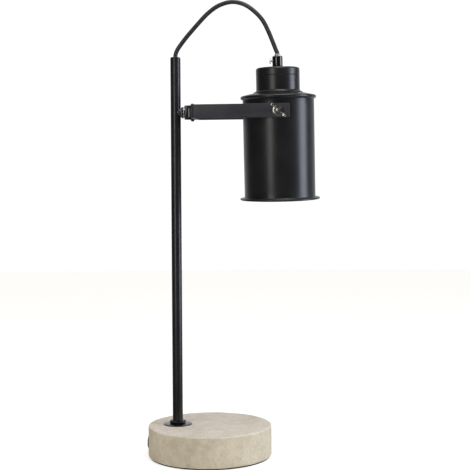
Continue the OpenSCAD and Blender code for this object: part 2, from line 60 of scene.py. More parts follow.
camera.rotation_euler = (
    CAMERA_AIM.to_track_quat("-Z", "Y").to_matrix() @ Matrix.Rotation(CAMERA_TURN, 3, "Z")
).to_euler()
camera.data.sensor_width = CAMERA_FILM
camera.data.lens = CAMERA_LENS
bpy.context.scene.camera = camera


# ---------------------------------------------------------------- cord
# A round two-core lead in a matte black PVC sheath. It comes out of the pole's mouth, rises over
# the yoke in one free loop and goes down into the cord grip. It is in two lengths that meet at
# the top of the loop.
MM = 0.001
CORD_D = 5.3 * MM
POLE_AT = Vector((-39.5 * MM, 0, 0))
MOUTH = POLE_AT + Vector((0, 0, 486 * MM))
# Offsets from the pole's mouth up to the top of the loop, in millimetres
CORD_RISE = [
    (0, 0, 0), (1, 0, 6), (4.5, 0, 12.5), (13.5, -1, 24), (28.5, -1, 41),
    (40.5, -2, 53), (54, -3, 62), (70.5, -3.5, 66),
]
# Shares of the way from the top of the loop down to the cord grip, along each axis
CORD_FALL = [
    (0, 0, 0), (0.261, 0.163, 0.052), (0.478, 0.489, 0.18), (0.667, 0.652, 0.352),
    (0.793, 0.814, 0.554), (0.892, 0.814, 0.756), (0.965, 0.814, 0.914), (1, 1, 1),
]
joints = {joint["name"]: joint for joint in frame["joints"]}
pivot = Vector(joints["shade_tilt"]["pos_m"])
pin = Vector(joints["arm_swing"]["pos_m"])
roll = math.asin(joints["shade_tilt"]["axis"][2])
LEAN = math.radians(0.7)

# Places in which pieces are set down: the hinge's, with its origin at the pin, and the shade's,
# with its origin where the pivot crosses the shade's axis
HINGE = Matrix.Translation(pin) @ Matrix.Rotation(roll, 4, "X")
SHADE = Matrix.Translation(pivot) @ Matrix.Rotation(roll, 4, "X") @ Matrix.Rotation(-LEAN, 4, "Y")

COLLET_TOP = 68.95 * MM
grip_mouth = SHADE @ Vector((0, 0, COLLET_TOP))
into_grip = -(SHADE.to_3x3() @ Vector((0, 0, 1)))
TOP_DIR = Vector((1, 0, 0))
STEPS = 8
SIDES = 24


def only(piece):
    """Selects one object and makes it the active one"""
    bpy.ops.object.select_all(action="DESELECT")
    piece.select_set(True)
    bpy.context.view_layer.objects.active = piece


def cord_line(route, start, end):
    """Points and directions of one smooth curve through a route"""
    last = len(route) - 1
    slopes = [
        start.normalized() * (route[1] - route[0]).length if i == 0
        else end.normalized() * (route[last] - route[last - 1]).length if i == last
        else (route[i + 1] - route[i - 1]) / 2
        for i in range(last + 1)
    ]
    line = []
    for i in range(last):
        p, q, u, v = route[i], route[i + 1], slopes[i], slopes[i + 1]
        for k in range(STEPS + (i == last - 1)):
            t = k / STEPS
            at = ((2*t**3 - 3*t**2 + 1) * p + (t**3 - 2*t**2 + t) * u
                  + (3*t**2 - 2*t**3) * q + (t**3 - t**2) * v)
            way = ((6*t*t - 6*t) * p + (3*t*t - 4*t + 1) * u
                   + (6*t - 6*t*t) * q + (3*t*t - 2*t) * v)
            line.append((at, way.normalized()))
    return line


def cord_tube(name, line):
    """A round tube along a line, with flat ends and a UV map that follows it"""
    verts, faces = [], []
    for at, way in line:
        side = way.cross(Vector((0, 1, 0))).normalized()
        up = side.cross(way)
        verts += [
            at + CORD_D / 2 * (math.cos(math.tau * k / SIDES) * side
                               + math.sin(math.tau * k / SIDES) * up)
            for k in range(SIDES)
        ]
    for i in range(len(line) - 1):
        for k in range(SIDES):
            a, b = i * SIDES + k, i * SIDES + (k + 1) % SIDES
            faces.append((a, a + SIDES, b + SIDES, b))
    faces.append(tuple(range(SIDES)))
    faces.append(tuple(reversed(range(len(verts) - SIDES, len(verts)))))
    mesh = bpy.data.meshes.new(name)
    mesh.from_pydata(verts, [], faces)
    uv = mesh.uv_layers.new(name="UVMap")
    run = [0.0]
    for (a, _), (b, _) in zip(line, line[1:]):
        run.append(run[-1] + (b - a).length)
    for face in mesh.polygons:
        for loop, vert in zip(face.loop_indices, face.vertices):
            ring, k = divmod(vert, SIDES)
            wrap = 1 if k == 0 and any(v % SIDES == SIDES - 1 for v in face.vertices) else 0
            uv.data[loop].uv = ((k / SIDES + wrap) * math.pi * CORD_D, run[ring])
    piece = bpy.data.objects.new(name, mesh)
    bpy.context.collection.objects.link(piece)
    only(piece)
    bpy.ops.object.mode_set(mode="EDIT")
    bpy.ops.mesh.select_all(action="SELECT")
    bpy.ops.mesh.normals_make_consistent(inside=False)
    bpy.ops.object.mode_set(mode="OBJECT")
    bpy.ops.object.shade_smooth_by_angle(angle=math.radians(40))
    return piece, run[-1]


loop_top = MOUTH + Vector(CORD_RISE[-1]) * MM
loop_drop = grip_mouth - loop_top
rise = [MOUTH + Vector(offset) * MM for offset in CORD_RISE]
fall = [loop_top + Vector(part * whole for part, whole in zip(share, loop_drop))
        for share in CORD_FALL]
rise_line = cord_line(rise, Vector((0, 0, 1)), TOP_DIR)
fall_line = cord_line(fall, TOP_DIR, into_grip)
cord_rise, rise_length = cord_tube("cord_over_yoke", rise_line)
cord_fall, fall_length = cord_tube("cord_into_grip", fall_line)

# Materials. A colour is given as an sRGB hex value, and one function adds each node.


def linear(hex_colour):
    """An sRGB hex colour as linear RGBA"""
    parts = [int(hex_colour[i:i + 2], 16) / 255 for i in (0, 2, 4)]
    return [c / 12.92 if c <= 0.04045 else ((c + 0.055) / 1.055) ** 2.4 for c in parts] + [1.0]


def add(tree, kind, links=(), inputs=(), **settings):
    """Adds a node: inputs are values by socket, links are (own socket, node, its output)"""
    made = tree.nodes.new(kind)
    for key, value in settings.items():
        setattr(made, key, value)
    for socket, value in dict(inputs).items():
        made.inputs[socket].default_value = value
    for socket, source, output in links:
        tree.links.new(source.outputs[output], made.inputs[socket])
    return made


def material(name, inputs):
    """A new material with its shader's own values set: (material, tree, shader)"""
    made = bpy.data.materials.new(name)
    made.use_nodes = True
    shader = made.node_tree.nodes["Principled BSDF"]
    for socket, value in inputs.items():
        shader.inputs[socket].default_value = value
    return made, made.node_tree, shader


def ramp(tree, source, output, stops):
    """A colour ramp with (place, hex colour) stops"""
    made = add(tree, "ShaderNodeValToRGB", [("Fac", source, output)])
    while len(made.color_ramp.elements) < len(stops):
        made.color_ramp.elements.new(0.5)
    for element, (place, colour) in zip(made.color_ramp.elements, stops):
        element.position = place
        element.color = linear(colour)
    return made


def spread(tree, source, output, low, high, start=0.0, end=1.0):
    """Maps a pattern from start..end to low..high"""
    return add(tree, "ShaderNodeMapRange", [("Value", source, output)],
               {"From Min": start, "From Max": end, "To Min": low, "To Max": high})


def dress(tree, shader, colour, sheen, relief):
    """Leads a colour, a roughness and a bump into the shader"""
    tree.links.new(colour.outputs["Color"], shader.inputs["Base Color"])
    tree.links.new(sheen.outputs["Result"], shader.inputs["Roughness"])
    tree.links.new(relief.outputs["Normal"], shader.inputs["Normal"])


def noise(tree, place, output, size, detail, **inputs):
    """Noise of a size in metres, in the coordinates of a node's output"""
    return add(tree, "ShaderNodeTexNoise", [("Vector", place, output)],
               {"Scale": 1 / size, "Detail": detail, **inputs})


def bump(tree, source, output, strength, depth):
    """A bump of a depth in metres from a pattern"""
    return add(tree, "ShaderNodeBump", [("Height", source, output)],
               {"Strength": strength, "Distance": depth})


# Soft PVC, extruded: matte black with a slow change of sheen along the lead
pvc, tree, shader = material("soft_pvc_extruded", {"IOR": 1.53, "Specular IOR Level": 0.45})
place = add(tree, "ShaderNodeUVMap", uv_map="UVMap")
slow = noise(tree, place, "UV", 12 * MM, 3)
grain = noise(tree, place, "UV", 0.8 * MM, 2)
tint = ramp(tree, slow, "Fac", [(0.35, "161718"), (0.7, "202122")])
sheen = spread(tree, slow, "Fac", 0.38, 0.52, 0.35, 0.7)
dress(tree, shader, tint, sheen, bump(tree, grain, "Fac", 0.15, 0.05 * MM))

for piece in (cord_rise, cord_fall):
    piece.data.materials.append(pvc)
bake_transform(cord_rise)
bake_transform(cord_fall)
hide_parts("cord_rise")
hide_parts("cord_fall")


# ---------------------------------------------------------------- concrete disc
# A disc of fine grey concrete, cast face down in a smooth mould, so that its top is even and its
# side has small air holes. The pole goes through it into a pocket underneath.
BASE_R = 75 * MM
PAD_H = 1.5 * MM
BASE_TOP = 37.5 * MM
BASE_EDGE = 1.6 * MM
POLE_R = 6.25 * MM
POLE_HOLE_R = 6.45 * MM
POCKET_R, POCKET_H, POCKET_TOP = 27 * MM, 22.5 * MM, 23.5 * MM
LEAD_BORE_R, LEAD_BORE_Z = 4.85 * MM, 15.5 * MM
THROUGH = 40 * MM


def arc(x, z, r, start, end, steps):
    """Points of an arc about (x, z), from one angle to another in degrees"""
    angles = [math.radians(start + (end - start) * i / steps) for i in range(steps + 1)]
    return [(x + r * math.cos(a), z + r * math.sin(a)) for a in angles]


def even(a, b, step):
    """Points on a straight line, about step apart, without its ends"""
    count = max(1, round(math.dist(a, b) / step))
    return [(a[0] + (b[0] - a[0]) * i / count, a[1] + (b[1] - a[1]) * i / count)
            for i in range(1, count)]


def turned(name, profile, steps=128, angle=30, closed=False):
    """A lathe piece: a wire is drawn point by point in the XZ plane and spun about Z"""
    bpy.ops.object.select_all(action="DESELECT")
    bpy.ops.mesh.primitive_plane_add(size=0.1 * MM)
    piece = bpy.context.object
    piece.name = name
    points = [Vector((x, 0, z)) for x, z in profile]
    if closed:
        points.append(points[0])
    bpy.ops.object.mode_set(mode="EDIT")
    bpy.ops.mesh.select_mode(type="VERT")
    bpy.ops.mesh.select_all(action="SELECT")
    bpy.ops.mesh.merge(type="CENTER")
    bpy.ops.transform.translate(value=points[0])
    for a, b in zip(points, points[1:]):
        bpy.ops.mesh.extrude_vertices_move(TRANSFORM_OT_translate={"value": b - a})
    bpy.ops.mesh.select_all(action="SELECT")
    bpy.ops.mesh.remove_doubles(threshold=0.001 * MM)
    bpy.ops.mesh.spin(steps=steps, angle=math.tau, center=(0, 0, 0), axis=(0, 0, 1))
    bpy.ops.mesh.select_all(action="SELECT")
    bpy.ops.mesh.remove_doubles(threshold=0.002 * MM)
    bpy.ops.mesh.normals_make_consistent(inside=False)
    bpy.ops.object.mode_set(mode="OBJECT")
    bpy.ops.object.shade_smooth_by_angle(angle=math.radians(angle))
    return piece


def apply(piece, kind, **settings):
    """Adds a modifier to a piece and applies it"""
    only(piece)
    added = piece.modifiers.new(kind.lower(), kind)
    for key, value in settings.items():
        setattr(added, key, value)
    bpy.ops.object.modifier_apply(modifier=added.name)


def cylinder(name, r, h, at, along="Z", sides=64):
    """A cylinder about a point, lying along an axis"""
    bpy.ops.object.select_all(action="DESELECT")
    turn = {"X": (0, math.pi / 2, 0), "Y": (math.pi / 2, 0, 0), "Z": (0, 0, 0)}[along]
    bpy.ops.mesh.primitive_cylinder_add(vertices=sides, radius=r, depth=h,
                                        location=at, rotation=turn)
    piece = bpy.context.object
    piece.name = name
    bpy.ops.object.transform_apply(location=True, rotation=True, scale=True)
    return piece


def block(name, size, at):
    """A box of a size about a point"""
    bpy.ops.object.select_all(action="DESELECT")
    bpy.ops.mesh.primitive_cube_add(size=1, location=at)
    piece = bpy.context.object
    piece.name = name
    piece.scale = size
    bpy.ops.object.transform_apply(location=True, rotation=True, scale=True)
    return piece


def cut(piece, cutter, operation="DIFFERENCE"):
    """Takes a cutter out of a piece, or joins it on, and removes the cutter"""
    apply(piece, "BOOLEAN", object=cutter, operation=operation, solver="EXACT")
    bpy.data.objects.remove(cutter)


def soften(piece, edge, segments, limit, smooth):
    """Rounds the edges sharper than a limit in degrees, and shades the rest smooth"""
    apply(piece, "BEVEL", width=edge, segments=segments, limit_method="ANGLE",
          angle_limit=math.radians(limit))
    bpy.ops.object.shade_smooth_by_angle(angle=math.radians(smooth))


def set_down(piece, place):
    """Moves a piece that was modelled at the origin to its place"""
    only(piece)
    piece.matrix_world = place
    bpy.ops.object.transform_apply(location=True, rotation=True, scale=True)


def fit(piece, body, finish, slot, *nodes):
    """Gives a piece its finish and its body, in place of CAD nodes"""
    piece.data.materials.clear()
    piece.data.materials.append(finish)
    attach(piece, body)
    if nodes:
        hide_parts(*nodes)


side_foot, side_head = (BASE_R, PAD_H + BASE_EDGE), (BASE_R, BASE_TOP - BASE_EDGE)
top_rim = (BASE_R - BASE_EDGE, BASE_TOP)
top_core = (6 * MM, BASE_TOP)
FINE = 1.1 * MM
disc = turned("concrete_disc", [(0, PAD_H)]
              + arc(BASE_R - BASE_EDGE, PAD_H + BASE_EDGE, BASE_EDGE, -90, 0, 4)
              + even(side_foot, side_head, FINE)
              + arc(BASE_R - BASE_EDGE, BASE_TOP - BASE_EDGE, BASE_EDGE, 0, 90, 4)
              + even(top_rim, top_core, FINE)
              + [top_core, (0, BASE_TOP)], steps=400, angle=60)

# Slight unevenness of the mould, then air holes a few millimetres across in places
waves = bpy.data.textures.new("mould_waves", "CLOUDS")
waves.noise_scale = 22 * MM
waves.noise_depth = 2
apply(disc, "DISPLACE", texture=waves, texture_coords="LOCAL", strength=0.35 * MM, mid_level=0.5)
holes = bpy.data.textures.new("air_holes", "VORONOI")
holes.noise_scale = 9 * MM
holes.use_color_ramp = True
for element, (place, level) in zip(holes.color_ramp.elements, [(0.05, 0.0), (0.13, 1.0)]):
    element.position = place
    element.color = (level, level, level, 1)
apply(disc, "DISPLACE", texture=holes, texture_coords="LOCAL", strength=0.55 * MM, mid_level=1.0)
pocket_at = POLE_AT + Vector((0, 0, POCKET_TOP - POCKET_H / 2))
cut(disc, cylinder("pocket", POCKET_R, POCKET_H, pocket_at, sides=96))
cut(disc, cylinder("hole", POLE_HOLE_R, THROUGH, POLE_AT + Vector((0, 0, 30 * MM))))
cut(disc, cylinder("bore", LEAD_BORE_R, THROUGH, Vector((-BASE_R, 0, LEAD_BORE_Z)), along="X"))
bpy.ops.object.shade_smooth_by_angle(angle=math.radians(60))

# Cast concrete: warm grey with cloudy patches, sand grains, pinholes and a dry surface
concrete, tree, shader = material("cast_concrete", {"IOR": 1.5, "Specular IOR Level": 0.25})
place = add(tree, "ShaderNodeTexCoord")
clouds = noise(tree, place, "Object", 38 * MM, 5, Roughness=0.6, Distortion=0.4)
stains = noise(tree, place, "Object", 9 * MM, 6, Roughness=0.7)
sand = add(tree, "ShaderNodeTexVoronoi", [("Vector", place, "Object")],
           {"Scale": 1 / (1.4 * MM)})
dust = noise(tree, place, "Object", 0.7 * MM, 4, Roughness=0.8)
pores = add(tree, "ShaderNodeTexVoronoi", [("Vector", place, "Object")],
            {"Scale": 1 / (5.5 * MM)})
body_tint = ramp(tree, clouds, "Fac", [(0.32, "a69e92"), (0.5, "b4ada3"), (0.7, "bfb9af")])
stain_tint = ramp(tree, stains, "Fac", [(0.34, "9b9284"), (0.5, "b3ada2"), (0.68, "c5c0b7")])
tint = add(tree, "ShaderNodeMixRGB",
           [("Color1", body_tint, "Color"), ("Color2", stain_tint, "Color")], {"Fac": 0.42})
grains = ramp(tree, sand, "Color", [(0.0, "8f8678"), (0.5, "b8b1a5"), (1.0, "cfcac1")])
tint = add(tree, "ShaderNodeMixRGB",
           [("Color1", tint, "Color"), ("Color2", grains, "Color")], {"Fac": 0.10})
pit = spread(tree, pores, "Distance", 0.0, 1.0, 0.06, 0.16)
# Painted shade: the colour is darkened inside the pinholes, where shade falls in them
painted_pit_shade = ramp(tree, pit, "Result", [(0.0, "7d7466"), (1.0, "ffffff")])
tint = add(tree, "ShaderNodeMixRGB",
           [("Color1", tint, "Color"), ("Color2", painted_pit_shade, "Color")], {"Fac": 0.35},
           blend_type="MULTIPLY")
# Painted shade: the side is painted darker and yellower than the top, where less and warmer light
# falls
height = add(tree, "ShaderNodeSeparateXYZ", [("Vector", place, "Object")])
side = spread(tree, height, "Z", 1.0, 0.0, BASE_TOP - 1.5 * MM, BASE_TOP - 0.3 * MM)
tint = add(tree, "ShaderNodeMixRGB", [("Fac", side, "Result"), ("Color1", tint, "Color")],
           {"Color2": linear("f1ede0")}, blend_type="MULTIPLY")
dry = spread(tree, stains, "Fac", 0.72, 0.9, 0.3, 0.7)
dusty = bump(tree, dust, "Fac", 0.35, 0.12 * MM)
relief = add(tree, "ShaderNodeBump", [("Height", pit, "Result"), ("Normal", dusty, "Normal")],
             {"Strength": 0.7, "Distance": 0.4 * MM})
dress(tree, shader, tint, dry, relief)
fit(disc, "root", concrete, "concrete", "base_block")


# ---------------------------------------------------------------- pad and cord bushing
# A ring-cut rubber pad is glued under the disc, a little smaller than it. A rubber bushing sits
# in the bore at the back, where the mains lead would come in.
rubber, tree, shader = material("natural_rubber_moulded", {"IOR": 1.52, "Specular IOR Level": 0.3})
place = add(tree, "ShaderNodeTexCoord")
bloom = noise(tree, place, "Object", 14 * MM, 4)
grain = noise(tree, place, "Object", 0.6 * MM, 2)
tint = ramp(tree, bloom, "Fac", [(0.35, "17171a"), (0.7, "242427")])
dull = spread(tree, bloom, "Fac", 0.62, 0.8, 0.3, 0.7)
dress(tree, shader, tint, dull, bump(tree, grain, "Fac", 0.25, 0.08 * MM))

pad_r = BASE_R - BASE_EDGE
PAD_EDGE = 0.4 * MM
pad = turned("rubber_pad", [
    (0, 0), (pad_r - PAD_EDGE, 0), (pad_r, PAD_EDGE), (pad_r, PAD_H), (0, PAD_H),
], steps=160)
fit(pad, "root", rubber, "rubber", "base_pad")

# Edges that turn by more than this many degrees are rounded off
SHARP = 35


def softened(name, edge, body, finish, slot, *nodes):
    """A piece from CAD nodes, merged, with its sharp edges rounded off"""
    parts = []
    for node in nodes:
        part = bpy.data.objects.new(name, frame["nodes"][node].data.copy())
        bpy.context.collection.objects.link(part)
        parts.append(part)
    only(parts[0])
    for part in parts:
        part.select_set(True)
    if len(parts) > 1:
        bpy.ops.object.join()
    piece = bpy.context.object
    bpy.ops.object.mode_set(mode="EDIT")
    bpy.ops.mesh.select_all(action="SELECT")
    bpy.ops.mesh.customdata_custom_splitnormals_clear()
    bpy.ops.mesh.remove_doubles(threshold=0.001 * MM)
    bpy.ops.mesh.dissolve_limited(angle_limit=math.radians(0.4))
    bpy.ops.object.mode_set(mode="OBJECT")
    soften(piece, edge, 2, SHARP, SHARP)
    fit(piece, body, finish, slot, *nodes)
    return piece


softened("cord_bushing_ring", 0.5 * MM, "root", rubber, "rubber", "cord_bushing")


# ---------------------------------------------------------------- pole and its foot
# A steel tube, powder-coated satin black, held in the disc by a domed foot plate and a thin nut
# above and by a washer and a lock nut in the pocket. A plastic bush guards the cord at its mouth.
def coated(name, colour, low, high, peel, shine):
    """Powder coat: near black, faint orange peel, sheen that changes slowly"""
    made, tree, shader = material(name, {"IOR": 1.5, "Specular IOR Level": shine})
    place = add(tree, "ShaderNodeTexCoord")
    slow = noise(tree, place, "Object", 30 * MM, 3)
    skin = noise(tree, place, "Object", 1.3 * MM, 2)
    tint = ramp(tree, slow, "Fac", colour)
    sheen = spread(tree, slow, "Fac", low, high, 0.3, 0.7)
    dress(tree, shader, tint, sheen, bump(tree, skin, "Fac", peel, 0.05 * MM))
    return made


satin_black = coated("powder_coated_steel_satin", [(0.3, "141416"), (0.7, "1a1a1c")],
                     0.27, 0.33, 0.05, 0.36)


def metal(name, colours, low, high, scratch):
    """Plated or blackened metal, with fine turning marks and dulled patches"""
    made, tree, shader = material(name, {"Metallic": 1.0})
    place = add(tree, "ShaderNodeTexCoord")
    slow = noise(tree, place, "Object", 5 * MM, 4)
    fine = noise(tree, place, "Object", 0.5 * MM, 3)
    tint = ramp(tree, slow, "Fac", colours)
    dull = spread(tree, slow, "Fac", low, high, 0.3, 0.7)
    dress(tree, shader, tint, dull, bump(tree, fine, "Fac", scratch, 0.03 * MM))
    return made


nickel = metal("nickel_plated_steel", [(0.3, "98958f"), (0.7, "b6b4ae")], 0.22, 0.34, 0.15)
blackened = metal("blackened_steel", [(0.3, "3a3a3d"), (0.7, "55555a")], 0.28, 0.42, 0.25)
brass = metal("turned_brass", [(0.3, "b08d4a"), (0.7, "cdaa63")], 0.25, 0.4, 0.2)


def moulded(name, colours, low, high, inputs):
    """Moulded plastic, glass or glazed ware: nearly even, with a slow change of sheen"""
    made, tree, shader = material(name, inputs)
    place = add(tree, "ShaderNodeTexCoord")
    slow = noise(tree, place, "Object", 8 * MM, 3)
    tint = ramp(tree, slow, "Fac", colours)
    sheen = spread(tree, slow, "Fac", low, high, 0.3, 0.7)
    dress(tree, shader, tint, sheen, bump(tree, slow, "Fac", 0.05, 0.2 * MM))
    return made


phenolic = moulded("phenolic_moulded", [(0.3, "141414"), (0.7, "1b1b1c")], 0.32, 0.45, {"IOR": 1.6})
gloss_phenolic = moulded("phenolic_polished", [(0.3, "0b0b0c"), (0.7, "101012")], 0.12, 0.2,
                         {"IOR": 1.6})
clear_nylon = moulded("nylon_clear", [(0.3, "dfe3e4"), (0.7, "eef1f1")], 0.15, 0.25,
                      {"IOR": 1.53, "Transmission Weight": 0.75})
white_nylon = moulded("nylon_natural", [(0.3, "e0e0dc"), (0.7, "f0f0ee")], 0.3, 0.4,
                      {"IOR": 1.53, "Subsurface Weight": 0.2, "Subsurface Scale": 1 * MM})
steatite = moulded("steatite_glazed", [(0.3, "d8d2c2"), (0.7, "e6e1d4")], 0.12, 0.2, {"IOR": 1.54})
opal = moulded("opal_glass_blown", [(0.3, "f1efe8"), (0.7, "f6f4ef")], 0.08, 0.14,
               {"IOR": 1.5, "Subsurface Weight": 0.3, "Subsurface Scale": 2 * MM})

POLE_BORE = 5.0 * MM
POLE_FOOT, POLE_HEAD = 14 * MM, 485.2 * MM
EASE = 0.3 * MM
pole = turned("pole_tube", [
    (POLE_BORE, POLE_FOOT), (POLE_R - EASE, POLE_FOOT), (POLE_R, POLE_FOOT + EASE),
    (POLE_R, POLE_HEAD - 2 * EASE), (POLE_R - 0.25 * EASE, POLE_HEAD - 0.6 * EASE),
    (POLE_R - EASE, POLE_HEAD), (POLE_BORE, POLE_HEAD),
], steps=64, closed=True)
set_down(pole, Matrix.Translation(POLE_AT))
STUD_Z = 418.5 * MM
STUD_HOLE_R = 3.05 * MM
cut(pole, cylinder("stud_hole", STUD_HOLE_R, 12 * MM, POLE_AT + Vector((6 * MM, 0, STUD_Z)),
                   along="X", sides=32))
bpy.ops.object.shade_smooth_by_angle(angle=math.radians(35))
fit(pole, "root", satin_black, "black_paint", "pole")

# The foot plate is pressed with a soft dome; the nut is thin, with chamfered corners
FOOT_R, FOOT_BORE, FOOT_EDGE = 17.5 * MM, 6.3 * MM, 0.5 * MM
FOOT_DOME = [(15 * MM, 1.25 * MM), (11 * MM, 1.55 * MM), (FOOT_BORE, 1.6 * MM)]
foot = turned("foot_plate_domed", (
    [(FOOT_BORE, BASE_TOP), (FOOT_R, BASE_TOP)]
    + arc(FOOT_R - FOOT_EDGE, BASE_TOP + FOOT_EDGE, FOOT_EDGE, 0, 80, 4)
    + [(r, BASE_TOP + up) for r, up in FOOT_DOME]
), steps=96, closed=True)
set_down(foot, Matrix.Translation(POLE_AT))
gloss_black = coated("powder_coated_steel_gloss", [(0.3, "0b0b0c"), (0.7, "101011")],
                     0.06, 0.12, 0.04, 0.5)
fit(foot, "root", gloss_black, "black_paint", "foot_plate")
softened("foot_nut_thin", 0.35 * MM, "root", gloss_black, "black_paint", "foot_nut")
softened("lock_washer", 0.2 * MM, "root", nickel, "nickel", "pole_washer")
softened("lock_nut", 0.3 * MM, "root", nickel, "nickel", "pole_lock_nut")
softened("mouth_bush", 0.25 * MM, "root", phenolic, "black_plastic", "pole_bush")


# ---------------------------------------------------------------- stud, saddle, nut and fork
# A blackened stud is screwed through the pole's wall. A hollowed saddle, a nut and a thin bright
# washer clamp the coated fork against the pole; a riveted pin joins the fork to the yoke.
softened("stud_rod", 0.2 * MM, "root", blackened, "dark_steel", "stud")
softened("saddle_ring", 0.2 * MM, "root", blackened, "dark_steel", "saddle")
softened("stud_hex_nut", 0.25 * MM, "root", blackened, "dark_steel", "stud_nut")
softened("stud_thin_washer", 0.2 * MM, "root", nickel, "nickel", "stud_washer")
softened("fork_block", 0.5 * MM, "root", satin_black, "black_paint", "fork")
softened("hinge_rivet", 0.15 * MM, "root", blackened, "dark_steel", "hinge_pin")


# ---------------------------------------------------------------- yoke
# A flat steel strip bent twice into a U, with its web notched above and below the knuckle. The
# knuckle is a barrel welded to the web, and the pin turns in it.
STRIP_H = 16.2 * MM
STRIP_T = 2.5 * MM
ARM_OUT = 49.4 * MM
BEND_R = 6 * MM
WEB_X = 2.4 * MM
KNUCKLE_H = 10.4 * MM
BARREL_R = 4.2 * MM
ARM_LEN = (pivot - pin).length
ARM_END = ARM_LEN + 13 * MM
NOTCH_W, NOTCH_H = 18 * MM, 10 * MM
TAB_LEN = WEB_X + 0.8 * MM
BOLT_BORE = 2.55 * MM
PIN_BORE = 1.65 * MM


def pick(piece, mode, test):
    """Selects the vertices, edges or faces of a piece whose centre passes a test"""
    mesh = piece.data
    for group in (mesh.vertices, mesh.edges, mesh.polygons):
        group.foreach_set("select", [False] * len(group))
    for vert in mesh.vertices if mode == "VERT" else ():
        vert.select = test(vert.co)
    for edge in mesh.edges if mode == "EDGE" else ():
        a, b = edge.vertices
        edge.select = test((mesh.vertices[a].co + mesh.vertices[b].co) / 2)
    for face in mesh.polygons if mode == "FACE" else ():
        face.select = test(face.center)
    bpy.ops.object.mode_set(mode="EDIT")
    bpy.ops.mesh.select_mode(type=mode)


bend_x = WEB_X + BEND_R
bend_y = ARM_OUT - BEND_R
bpy.ops.object.select_all(action="DESELECT")
bpy.ops.mesh.primitive_plane_add(size=1, location=((ARM_END + bend_x) / 2, -ARM_OUT, 0),
                                 rotation=(math.pi / 2, 0, 0))
strap = bpy.context.object
strap.name = "yoke_strap"
strap.scale = (ARM_END - bend_x, STRIP_H, 1)
bpy.ops.object.transform_apply(location=True, rotation=True, scale=True)
pick(strap, "EDGE", lambda c: abs(c.x - bend_x) < 0.01 * MM)
bpy.ops.mesh.spin(steps=10, angle=math.pi / 2, center=(bend_x, -bend_y, 0), axis=(0, 0, 1))
bpy.ops.mesh.extrude_edges_move(TRANSFORM_OT_translate={"value": (0, 2 * bend_y, 0)})
bpy.ops.mesh.spin(steps=10, angle=math.pi / 2, center=(bend_x, bend_y, 0), axis=(0, 0, 1))
bpy.ops.mesh.extrude_edges_move(TRANSFORM_OT_translate={"value": (ARM_END - bend_x, 0, 0)})
bpy.ops.mesh.select_all(action="SELECT")
bpy.ops.mesh.remove_doubles(threshold=0.001 * MM)
bpy.ops.mesh.normals_make_consistent(inside=False)
bpy.ops.object.mode_set(mode="OBJECT")
outer_face = max(strap.data.polygons, key=lambda face: face.area)
faces_out = outer_face.normal.y * outer_face.center.y > 0
apply(strap, "SOLIDIFY", thickness=STRIP_T, offset=-1 if faces_out else 1)
for side in (-1, 1):
    cut(strap, block("notch", (2 * STRIP_T, NOTCH_W, NOTCH_H),
                     (WEB_X + STRIP_T / 2, 0, side * (KNUCKLE_H + NOTCH_H) / 2)))
cut(strap, cylinder("bolt_holes", BOLT_BORE, 120 * MM, Vector((ARM_LEN, 0, 0)), along="Y",
                    sides=48))
soften(strap, 0.4 * MM, 3, 40, 35)
set_down(strap, HINGE)
matt_black = coated("powder_coated_steel_matt", [(0.3, "26262a"), (0.7, "2d2d32")],
                    0.42, 0.52, 0.15, 0.36)
fit(strap, "arm", matt_black, "black_paint", "yoke")

knuckle = cylinder("yoke_knuckle", BARREL_R, KNUCKLE_H, Vector((0, 0, 0)), sides=48)
cut(knuckle, block("tab", (TAB_LEN, 2 * BARREL_R, KNUCKLE_H), (TAB_LEN / 2, 0, 0)), "UNION")
cut(knuckle, cylinder("pin_hole", PIN_BORE, 20 * MM, Vector((0, 0, 0)), sides=32))
soften(knuckle, 0.3 * MM, 2, 50, 35)
set_down(knuckle, HINGE)
fit(knuckle, "arm", matt_black, "black_paint", "yoke")


# ---------------------------------------------------------------- shade
# A cylinder spun from thin sheet. Its lower lip is rolled outwards, its upper rim stands out as a
# half-round bead, and its flat top is clamped between the lampholder's sleeve and ring.
SHADE_R = 43.4 * MM
WALL = 1.2 * MM
LIP_FOOT = -107.1 * MM
LIP_R, LIP_T, LIP_TURN = 48.9 * MM, 2.4 * MM, 2.2 * MM
RIM_R, RIM_T = 46 * MM, 4.4 * MM
TOP_Z = 22.4 * MM
NECK_R, FLARE = 26.5 * MM, 3.1 * MM
flat_r = NECK_R + FLARE + 0.4 * MM
HOLE_R = 20.3 * MM
RIM_FALL = math.radians(11.5)
rim_z = TOP_Z - (RIM_R - flat_r) * math.tan(RIM_FALL)
lip_top = LIP_FOOT + LIP_T
turn_x, turn_z = SHADE_R + LIP_TURN, lip_top + LIP_TURN
bead_x, bead_z = RIM_R - RIM_T / 2, rim_z - RIM_T / 2
